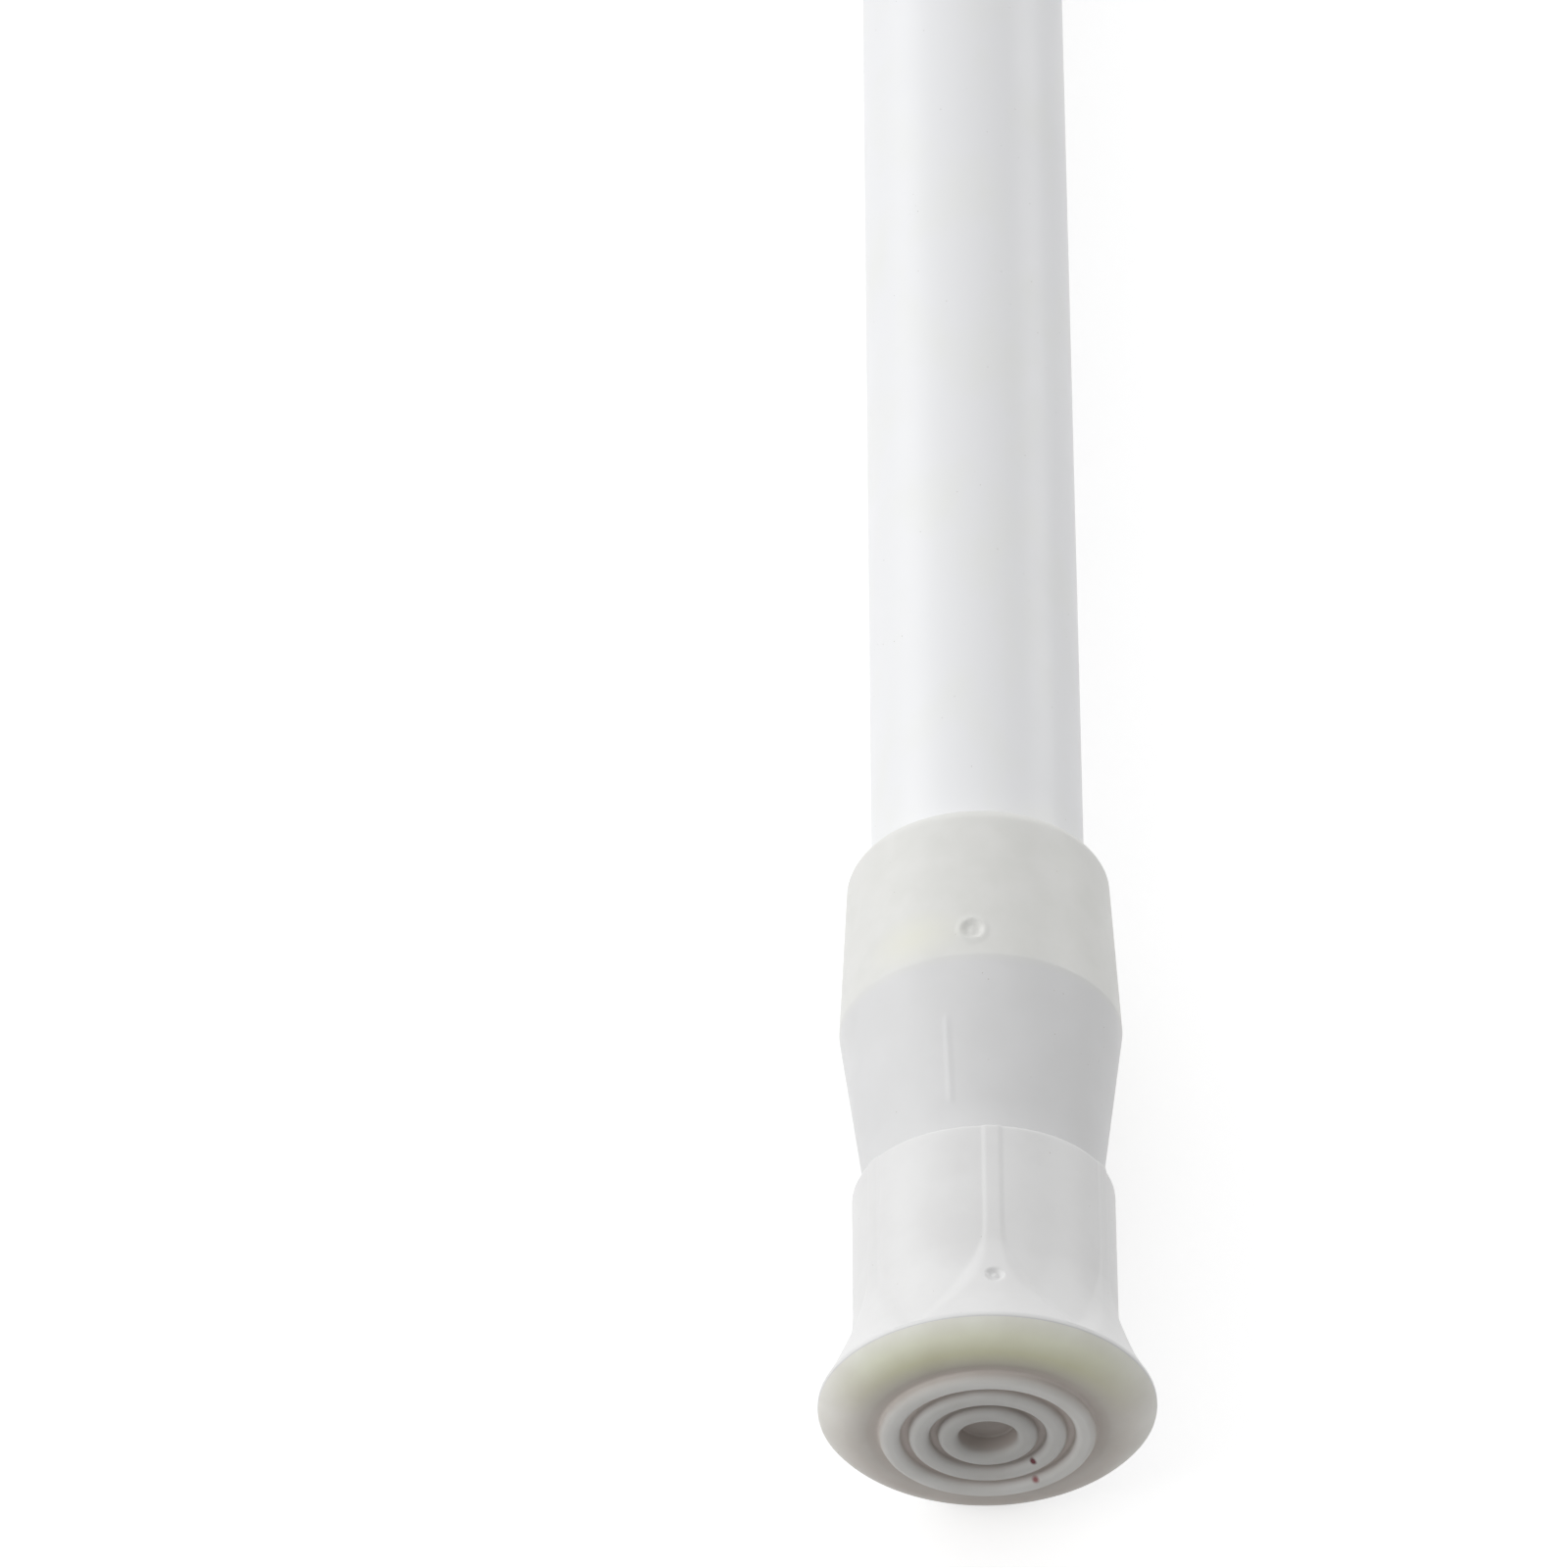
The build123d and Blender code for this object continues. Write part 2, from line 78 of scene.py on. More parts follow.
# End caps, measured from the flange's wall side into the rod
CAP_LENGTH = 25.4
CAP_BAND = 0.5
CAP_FLARE_LENGTH = 10.9
CAP_RADIUS = 13.3
FLANGE_RADIUS = 16.9
CAP_FLOOR = 2.4
SOCKET_RADIUS = 11.8
STEM_HOLE_RADIUS = 3.1
LAND_RADIUS = 13.45
LAND_SAG = 0.65
CAP_RIM_ROUND = 0.45
FLANGE_ROUND = 0.22
CAP_TURN = math.radians(2.6)
CORE_DEPTH = 4.0
CORE_INNER_RADIUS = 13.0
CORE_TIP_RADIUS = 13.4
CORE_OUTER_RADIUS = 14.6

# Petals let into the caps: pointed at the flange, and full width from PETAL_REACH on. Their
# edges are PETAL_EDGE wide on the skirt and soften to PETAL_FLARE_EDGE towards the flange.
# Rows more than OUTSIDE_MARGIN outside the socket's radius belong to the cap's outside.
PETALS = 6
PETAL_HALF_ANGLE = math.radians(26.3)
PETAL_REACH = 13.5
PANEL_FLANGE_RADIUS = 16.4
PETAL_EDGE = 0.42
PETAL_FLARE_EDGE = 2.6
PETAL_SOFTENING = 1.6
OUTSIDE_MARGIN = 0.9

# Gate marks left by moulding, and the collar's parting line
CAP_GATE_PLACE = 6.7
CAP_GATE_RADIUS = 1.05
CAP_GATE_DEPTH = 0.42
COLLAR_GATE_PLACE = 16.5
COLLAR_GATE_RADIUS = 1.22
COLLAR_GATE_DEPTH = 0.3
COLLAR_GATE_LIP = 0.13
COLLAR_GATE_ANGLE = math.radians(-4)
PARTING_ANGLE = math.radians(-16)
PARTING_START = 26.0
PARTING_END = 36.5
PARTING_HEIGHT = 0.09
PARTING_WIDTH = 0.32

# A gate mark's form, as shares of its depth and radius
GATE_DISH_SLOPE = 2.0
GATE_PIP_HEIGHT = 0.5
GATE_PIP_SLOPE = 2.4
GATE_LIP_PLACE = 1.1
GATE_LIP_WIDTH = 0.24

# Ribs in the sockets. Each ends in a slope twice RIB_END_HALF long, and is raised from the
# points that lie within WALL_TOLERANCE of the socket's radius.
SOCKET_RIBS = 6
RIB_HALF_ANGLE = math.radians(2.6)
RIB_RECESS = 3.0
RIB_END_HALF = 0.05
PRESS_GAP = 0.03
WALL_TOLERANCE = 0.01

# Wall pads, heights measured from the flange towards the wall
PAD_RADIUS = 16.85
PAD_HEIGHT = 3.6
PAD_DOME = 2.5
PAD_DOME_RADIUS = 11.3
PAD_DOME_BULGE = 0.8
PAD_RECESS_RADIUS = 2.8
PAD_RECESS_DEPTH = 1.2
PAD_RECESS_ROUND = 0.2
PAD_RING_FOOT = 1.08
PAD_RING_CROWN = 0.97
PAD_RING_ROUND = 0.78
PAD_FOOT_ROUND = 0.3
PAD_RINGS = (3.95, 6.85, 9.75)
STEM_RADIUS = 3.0
STEM_BARB_RADIUS = 4.0
STEM_BARB_START = 2.6
STEM_END = 5.4
STEM_TIP_RADIUS = 2.0

# Joint collar, measured from its back face
COLLAR_LENGTH = 39.4
COLLAR_SOCKET_DEPTH = 19.2
COLLAR_BACK_FACE_RADIUS = 11.6
COLLAR_BACK_RADIUS = 13.55
COLLAR_BACK_BEVEL = 1.8
COLLAR_BEVEL_SAG = 0.42
COLLAR_WAIST_PLACE = 19.7
COLLAR_WAIST_RADIUS = 14.47
COLLAR_WAIST_ROUND = 1.6
COLLAR_FRONT_RADIUS = 11.9
COLLAR_FRONT_ROUND = 0.45
COLLAR_SOCKET_RADIUS = 11.03
COLLAR_THROAT_RADIUS = 9.58

# Spring: each end turn lies closed for SPRING_END_TURN of a turn
SPRING_RADIUS = 6.6
SPRING_WIRE_RADIUS = 0.85
SPRING_TURNS = 9.5
SPRING_END_TURN = 0.9

# How finely the forms are cut: parts of a turn or an arc, and steps in mm
FINE_TURN = 480
PLAIN_TURN = 192
LAND_PARTS = 96
SKIRT_STEP = 0.35
PAD_CORNER_PARTS = 5
PAD_BULGE_PARTS = 28
COLLAR_BEVEL_PARTS = 14
COLLAR_CORNER_PARTS = 12
COLLAR_STEP = 0.32
HIDDEN_STEP = 5.0
TUBE_CORNER_PARTS = 3
TUBE_STEP = 20.0
WIRE_SIDES = 14
WIRE_TURN_PARTS = 40
SHARP_ANGLE = math.radians(32)

# Most noise lies between these values
NOISE_LOW = 0.3
NOISE_HIGH = 0.7

# Specks: a cell is SPECK_CELL times a speck's size, and is filled out to SPECK_REACH
SPECK_CELL = 7
SPECK_REACH = 0.07
SPECK_BROWN = (0.45, 0.42, 0.38)

# Sockets of a colour mix node, whose names aren't unique
MIX_SHARE = 0
MIX_FIRST = 6
MIX_SECOND = 7
MIX_RESULT = 2

# The stain on the collar, and the specks on the pad: place in mm, radius of the solid core
# and colour. Each fades out at its outer radius.
STAIN_PLACE = (297.5, -7, 12.5)
STAIN_WEIGHTS = (1, 0.6, 0.6)
STAIN_RADIUS = 3.5
STAIN_CORE = 0.5
STAIN_COLOUR = (0.79, 0.79, 0.715)
PAD_CROWN_X = FLANGE_X + PAD_HEIGHT
PAD_SPECKS = (
    ((PAD_CROWN_X - 0.35, 4.65, -4.2), 0.3, (0.10, 0.012, 0.02)),
    ((PAD_CROWN_X - 0.3, 4.9, -7.6), 0.2, (0.30, 0.12, 0.12)),
)
PAD_SPECK_RADIUS = 0.5

# The pad's tones by reach from the axis: on the rings, and outside them by height, which paints
# light and shade as it falls: cream lit yellow-green with painted light on the upper bulge,
# painted shade in the crease by the outer ring, paler tones on the sides and painted shade below
RING_TONES = [
    (0.0, (0.42, 0.42, 0.405)),
    (0.35, (0.54, 0.535, 0.52)),
    (0.60, (0.72, 0.715, 0.695)),
    (0.65, (0.59, 0.57, 0.54)),
]
UPPER_PAINTED_LIGHT_AND_SHADE_TONES = [
    (0.70, (0.455, 0.43, 0.38)),
    (0.82, (0.645, 0.64, 0.46)),
    (0.92, (0.84, 0.85, 0.69)),
    (1.0, (0.91, 0.915, 0.84)),
]
SIDE_TONES = [
    (0.71, (0.57, 0.54, 0.50)),
    (0.86, (0.82, 0.79, 0.735)),
    (1.0, (0.93, 0.92, 0.87)),
]
LOWER_PAINTED_SHADE_TONES = [
    (0.8, (0.60, 0.55, 0.51)),
    (1.0, (0.80, 0.78, 0.74)),
]
UPPER_TO_SIDE = (11.0, 2.0)
SIDE_TO_LOWER = (0.0, -10.0)
# Painted shade: the darker, browner tint of the grooves and recess between the pad's rings
GROOVE_PAINTED_SHADE_TINT = (0.91, 0.83, 0.80)

# Floor and surround: what the eye sees, and the light they give
FLOOR_HALF = 3.0
FLOOR_TONE = 0.7
FLOOR_LIFT = 0.58
FLOOR_BOUNCE = 0.7
BRIGHT_SIDE = (-0.88, -0.38, 0.28)
AMBIENT_LOW = 0.15
AMBIENT_HIGH = 1.0

# Soft lamps: name, place, what they aim at, size and power
LAMPS = (
    ("key", (-1.1, -1.75, 0.6), (0.2, 0, 0), 1.2, 6),
    ("side", (0.7, -1.35, 0.95), (0.3, 0, 0), 1.0, 6.5),
    ("fill", (-1.1, 1.65, 0.4), (0.2, 0, 0), 0.9, 5.3),
)


# --- Profiles ---

def filleted(corners, steps=6):
    """A closed outline of (along, radius) points, each (along, radius, round) corner rounded."""
    count = len(corners)
    points = []
    for i in range(count):
        corner = np.array(corners[i][:2], float)
        round_radius = corners[i][2] if len(corners[i]) > 2 else 0
        before = np.array(corners[i - 1][:2], float) - corner
        after = np.array(corners[(i + 1) % count][:2], float) - corner
        if round_radius == 0:
            points.append(corner)
            continue
        before /= np.linalg.norm(before)
        after /= np.linalg.norm(after)
        half = math.acos(np.clip(before @ after, -1, 1)) / 2
        reach = round_radius / math.tan(half)
        middle = (before + after) / np.linalg.norm(before + after)
        centre = corner + middle * round_radius / math.sin(half)
        first = corner + before * reach - centre
        last = corner + after * reach - centre
        for t in np.linspace(0, 1, steps + 1):
            spoke = first * (1 - t) + last * t
            points.append(centre + spoke / np.linalg.norm(spoke) * round_radius)
    return np.array(points)


def arc(start, end, sag, steps):
    """Points from start to end that bow by sag to the left of the way between them."""
    start = np.array(start, float)
    end = np.array(end, float)
    chord = end - start
    length = np.linalg.norm(chord)
    side = np.array((-chord[1], chord[0])) / length
    radius = (length * length / 4 + sag * sag) / (2 * sag)
    centre = (start + end) / 2 + side * (sag - radius)
    turn = math.copysign(2 * math.asin(length / 2 / abs(radius)), -sag)
    angles = math.atan2(*(start - centre)[::-1]) + np.linspace(0, turn, steps + 1)
    return centre + abs(radius) * np.column_stack((np.cos(angles), np.sin(angles)))


def divided(profile, step, closed=True):
    """The profile with its long sides cut into lengths of at most step."""
    points = []
    count = len(profile)
    for i in range(count if closed else count - 1):
        start = profile[i]
        way = profile[(i + 1) % count] - start
        parts = max(1, math.ceil(np.linalg.norm(way) / step))
        points += [start + way * k / parts for k in range(parts)]
    if not closed:
        points.append(profile[-1])
    return np.array(points)


def smooth_step(value):
    """0 up to 0 and 1 from 1 on, with a smooth rise between them."""
    value = np.clip(value, 0, 1)
    return value * value * (3 - 2 * value)


# --- Meshes ---

def mesh_piece(name, points, faces, body, replaced, material):
    """A smooth-shaded object of these points (mm) and faces that stands for a CAD node."""
    mesh = bpy.data.meshes.new(name)
    mesh.from_pydata((points * MM).tolist(), [], faces)
    work = bmesh.new()
    work.from_mesh(mesh)
    bmesh.ops.recalc_face_normals(work, faces=work.faces)
    work.to_mesh(mesh)
    work.free()
    mesh.shade_smooth()
    mesh.set_sharp_from_angle(angle=SHARP_ANGLE)
    piece = bpy.data.objects.new(name, mesh)
    bpy.context.collection.objects.link(piece)
    mesh.materials.append(material)
    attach(piece, body)
    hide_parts(replaced)
    return piece


def turned(profile, start_x, direction, segments, shape=None, poles=False):
    """Points and faces of a profile turned round the rod's axis.

    The profile's along values run from start_x in the given direction, and angles
    run from +Z towards +Y. shape moves the (along, radius, angle) grids. With poles,
    the profile starts and ends on the axis, otherwise it is a closed outline.
    """
    angles = np.arange(segments) * 2 * math.pi / segments
    body = profile[1:-1] if poles else profile
    along = np.repeat(body[:, :1], segments, axis=1)
    radius = np.repeat(body[:, 1:], segments, axis=1)
    angle = np.repeat(angles[None, :], len(body), axis=0)
    if shape:
        along, radius = shape(along, radius, angle)
    points = np.stack(
        (start_x + direction * along, radius * np.sin(angle), radius * np.cos(angle)), axis=-1
    ).reshape(-1, 3)
    rings = len(body)
    faces = []
    for i in range(rings - 1 if poles else rings):
        here = i * segments
        there = (i + 1) % rings * segments
        for j in range(segments):
            k = (j + 1) % segments
            faces.append((here + j, here + k, there + k, there + j))
    if poles:
        ends = [(start_x + direction * profile[i, 0], 0, 0) for i in (0, -1)]
        points = np.vstack((points, ends))
        first_pole = rings * segments
        last_pole = first_pole + 1
        last_ring = first_pole - segments
        for j in range(segments):
            k = (j + 1) % segments
            faces.append((first_pole, k, j))
            faces.append((last_pole, last_ring + j, last_ring + k))
    return points, faces


def gate_mark(along, angle, radius, place, direction, size, depth, lip=0.0):
    """How deep a gate mark reaches at each point: a dish with a pip in it and a lip round it."""
    across = radius * np.sin(angle - direction)
    facing = np.cos(angle - direction) > 0
    distance = np.hypot(along - place, across) / size
    dish = smooth_step((1 - distance) * GATE_DISH_SLOPE)
    pip = GATE_PIP_HEIGHT * smooth_step(1 - distance * GATE_PIP_SLOPE)
    ridge = np.exp(-(((distance - GATE_LIP_PLACE) / GATE_LIP_WIDTH) ** 2))
    return (depth * (dish - pip) - lip * ridge) * facing


# --- End caps ---

def panel_flare(along):
    """Radius of the petals' flare, which leaves the skirt without a corner."""
    rise = PANEL_FLANGE_RADIUS - CAP_RADIUS
    arc_radius = (CAP_FLARE_LENGTH**2 + rise**2) / (2 * rise)
    reach = np.clip(CAP_BAND + CAP_FLARE_LENGTH - along, 0, CAP_FLARE_LENGTH)
    return CAP_RADIUS + arc_radius - np.sqrt(arc_radius**2 - reach**2)


def petal_share(along, radius, angle, turn):
    """1 in a petal, 0 on the lands and the flange, and between them at the edges."""
    sector = 2 * math.pi / PETALS
    offset = np.abs((angle - turn) % sector - sector / 2)
    reach = np.clip(along / PETAL_REACH, 0, 1)
    half_angle = PETAL_HALF_ANGLE * np.sin(reach * math.pi / 2)
    softening = smooth_step((1 - reach) * PETAL_SOFTENING)
    edge = PETAL_EDGE + (PETAL_FLARE_EDGE - PETAL_EDGE) * softening
    return smooth_step((half_angle - offset) * radius / edge + 0.5)


def cap_profile():
    """The cap's outline without petals, from the flange round the rim to the core pocket."""
    lands = arc(
        (CAP_BAND, FLANGE_RADIUS),
        (CAP_BAND + CAP_FLARE_LENGTH, LAND_RADIUS),
        -LAND_SAG,
        LAND_PARTS,
    )
    # The first and last points of edge and rim only steer the roundings, and are cut off
    stub = 2.0
    edge = filleted(
        [
            (0, FLANGE_RADIUS - stub),
            (0, FLANGE_RADIUS, FLANGE_ROUND),
            (CAP_BAND, FLANGE_RADIUS),
        ]
    )
    rim = filleted(
        [
            (CAP_LENGTH - stub, LAND_RADIUS),
            (CAP_LENGTH, LAND_RADIUS, CAP_RIM_ROUND),
            (CAP_LENGTH, SOCKET_RADIUS, CAP_RIM_ROUND),
            (CAP_LENGTH - stub, SOCKET_RADIUS),
        ]
    )
    skirt = divided(np.array((lands[-1], rim[1])), SKIRT_STEP, closed=False)
    rib_end = CAP_LENGTH - RIB_RECESS
    wall = np.array(
        (
            rim[-2],
            (rib_end + RIB_END_HALF, SOCKET_RADIUS),
            (rib_end - RIB_END_HALF, SOCKET_RADIUS),
            (CAP_FLOOR, SOCKET_RADIUS),
        )
    )
    wall = divided(wall, HIDDEN_STEP, closed=False)
    back = np.array(
        (
            (CAP_FLOOR, STEM_HOLE_RADIUS),
            (0, STEM_HOLE_RADIUS),
            (0, CORE_INNER_RADIUS),
            (CORE_DEPTH, CORE_INNER_RADIUS),
            (CORE_DEPTH, CORE_TIP_RADIUS),
            (0, CORE_OUTER_RADIUS),
        )
    )
    return np.vstack((edge[1:-1], lands, skirt[1:-1], rim[1:-1], wall[1:], back))


def end_cap(name, node, body, direction, tube_radius, turn, material):
    """A flared cap with six petals outside, and a ribbed socket for the tube inside."""

    def outside(along, radius, angle):
        in_flare = along < CAP_BAND + CAP_FLARE_LENGTH
        skirt_panel = radius - (LAND_RADIUS - CAP_RADIUS)
        panel = np.where(in_flare, panel_flare(along), skirt_panel)
        share = petal_share(along, radius, angle, turn)
        mark = gate_mark(
            along, angle, radius, CAP_GATE_PLACE, turn, CAP_GATE_RADIUS, CAP_GATE_DEPTH
        )
        return radius + share * (np.minimum(panel, radius) - radius) - mark

    def shape(along, radius, angle):
        on_outside = (along >= CAP_BAND) & (radius > SOCKET_RADIUS + OUTSIDE_MARGIN)
        radius = np.where(on_outside, outside(along, radius, angle), radius)
        sector = 2 * math.pi / SOCKET_RIBS
        offset = np.abs((angle - turn) % sector - sector / 2)
        on_wall = np.abs(radius - SOCKET_RADIUS) < WALL_TOLERANCE
        in_rib = (offset < RIB_HALF_ANGLE) & on_wall & (along < CAP_LENGTH - RIB_RECESS)
        return along, np.where(in_rib, tube_radius + PRESS_GAP, radius)

    points, faces = turned(cap_profile(), -direction * FLANGE_X, direction, FINE_TURN, shape)
    mesh_piece(name, points, faces, body, node, material)


# --- Wall pads ---

def pad_profile():
    """The pad's outline from the middle of its face to its stem's tip; heights are negative."""
    face = -PAD_DOME
    recess = face + PAD_RECESS_DEPTH
    corners = [(recess, 0), (recess, PAD_RECESS_RADIUS, PAD_RECESS_ROUND)]
    for ring in PAD_RINGS:
        if ring != PAD_RINGS[0]:
            corners.append((face, ring - PAD_RING_FOOT, PAD_FOOT_ROUND))
        corners.append((-PAD_HEIGHT, ring - PAD_RING_CROWN, PAD_RING_ROUND))
        corners.append((-PAD_HEIGHT, ring + PAD_RING_CROWN, PAD_RING_ROUND))
        corners.append((face, ring + PAD_RING_FOOT, PAD_FOOT_ROUND))
    corners.append((face, PAD_DOME_RADIUS))
    flat = filleted(corners, PAD_CORNER_PARTS)
    bulge = arc((face, PAD_DOME_RADIUS), (0, PAD_RADIUS), PAD_DOME_BULGE, PAD_BULGE_PARTS)
    stem = np.array(
        (
            (0, STEM_RADIUS),
            (STEM_BARB_START, STEM_RADIUS),
            (STEM_BARB_START, STEM_BARB_RADIUS),
            (STEM_END, STEM_TIP_RADIUS),
            (STEM_END, 0),
        )
    )
    return np.vstack((flat, bulge[1:], stem))


def wall_pad(name, node, body, direction, material):
    """A soft domed pad with three raised rings and a barbed stem."""
    points, faces = turned(
        pad_profile(), -direction * FLANGE_X, direction, FINE_TURN, poles=True
    )
    mesh_piece(name, points, faces, body, node, material)


# --- Collar, tubes, spring ---

def collar_profile():
    """The collar's outline: a bevelled back, a soft waist, a plain front, throat and socket."""
    bevel = arc(
        (0, COLLAR_BACK_FACE_RADIUS),
        (COLLAR_BACK_BEVEL, COLLAR_BACK_RADIUS),
        COLLAR_BEVEL_SAG,
        COLLAR_BEVEL_PARTS,
    )
    outside = filleted(
        [
            tuple(bevel[-1]),
            (COLLAR_WAIST_PLACE, COLLAR_WAIST_RADIUS, COLLAR_WAIST_ROUND),
            (COLLAR_LENGTH, COLLAR_FRONT_RADIUS, COLLAR_FRONT_ROUND),
            (COLLAR_LENGTH, COLLAR_THROAT_RADIUS, COLLAR_FRONT_ROUND),
            (COLLAR_SOCKET_DEPTH, COLLAR_THROAT_RADIUS),
        ],
        COLLAR_CORNER_PARTS,
    )
    outside = divided(np.vstack((bevel[:-1], outside[:-1])), COLLAR_STEP, closed=False)
    inside = np.array(
        (
            (COLLAR_SOCKET_DEPTH, COLLAR_THROAT_RADIUS),
            (COLLAR_SOCKET_DEPTH, COLLAR_SOCKET_RADIUS),
            (0, COLLAR_SOCKET_RADIUS),
        )
    )
    return divided(np.vstack((outside, inside)), HIDDEN_STEP)


def joint_collar(material):
    """The collar on the thick tube's open end, with its gate mark and parting line."""

    def shape(along, radius, angle):
        mark = gate_mark(
            along,
            angle,
            radius,
            COLLAR_GATE_PLACE,
            COLLAR_GATE_ANGLE,
            COLLAR_GATE_RADIUS,
            COLLAR_GATE_DEPTH,
            COLLAR_GATE_LIP,
        )
        turn = (angle - PARTING_ANGLE + math.pi) % (2 * math.pi) - math.pi
        reach = smooth_step(along - PARTING_START) * smooth_step(PARTING_END - along)
        line = PARTING_HEIGHT * reach * np.exp(-((turn * radius / PARTING_WIDTH) ** 2))
        return along, radius + np.where(radius > COLLAR_BACK_FACE_RADIUS, line - mark, 0)

    points, faces = turned(collar_profile(), COLLAR_BACK_X, 1, FINE_TURN, shape)
    mesh_piece(
        "collar_skin", points, faces, "outer", "joint_collar", material
    )


def tube(name, node, body, start_x, end_x, radius, material):
    """A thin-walled tube with slightly rolled ends."""
    profile = filleted(
        [
            (start_x, radius, TUBE_EDGE_ROUND),
            (end_x, radius, TUBE_EDGE_ROUND),
            (end_x, radius - TUBE_WALL, TUBE_EDGE_ROUND),
            (start_x, radius - TUBE_WALL, TUBE_EDGE_ROUND),
        ],
        TUBE_CORNER_PARTS,
    )
    points, faces = turned(divided(profile, TUBE_STEP), 0, 1, PLAIN_TURN)
    mesh_piece(name, points, faces, body, node, material)


def spring_path():
    """The middle of the wire: places along the rod in mm, and angles round it."""
    t = np.linspace(0, 1, int(SPRING_TURNS * WIRE_TURN_PARTS) + 1)
    closed = SPRING_END_TURN / SPRING_TURNS
    end_rise = 2 * SPRING_WIRE_RADIUS * SPRING_END_TURN
    start_x = SPRING_X + SPRING_WIRE_RADIUS
    end_x = SEAT_X - SPRING_WIRE_RADIUS
    first_share = np.clip(t / closed, 0, 1)
    middle_share = np.clip((t - closed) / (1 - 2 * closed), 0, 1)
    last_share = np.clip((t - 1 + closed) / closed, 0, 1)
    x = start_x + end_rise * (first_share + last_share)
    x = x + (end_x - start_x - 2 * end_rise) * middle_share
    return x, 2 * math.pi * SPRING_TURNS * t


def spring(material):
    """The coil spring, with closed end turns against washer and seat."""
    x, turn = spring_path()
    rows = []
    for k in range(WIRE_SIDES):
        around = 2 * math.pi * k / WIRE_SIDES
        row_x = x + SPRING_WIRE_RADIUS * math.sin(around)
        radius = SPRING_RADIUS + SPRING_WIRE_RADIUS * math.cos(around)
        rows.append(np.column_stack((row_x, radius * np.sin(turn), radius * np.cos(turn))))
    points = np.stack(rows, axis=1).reshape(-1, 3)
    faces = []
    for i in range(len(x) - 1):
        here = i * WIRE_SIDES
        there = here + WIRE_SIDES
        for k in range(WIRE_SIDES):
            n = (k + 1) % WIRE_SIDES
            faces.append((here + k, here + n, there + n, there + k))
    faces.append(tuple(range(WIRE_SIDES)))
    faces.append(tuple(range(len(points) - WIRE_SIDES, len(points))))
    piece = mesh_piece(
        "spring_coil", points, faces, "inner", "compression_spring", material
    )
    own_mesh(piece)


# --- Materials ---

def add_node(tree, kind, **settings):
    """A new node in the tree, with these settings."""
    node = tree.nodes.new(kind)
    for key, value in settings.items():
        setattr(node, key, value)
    return node


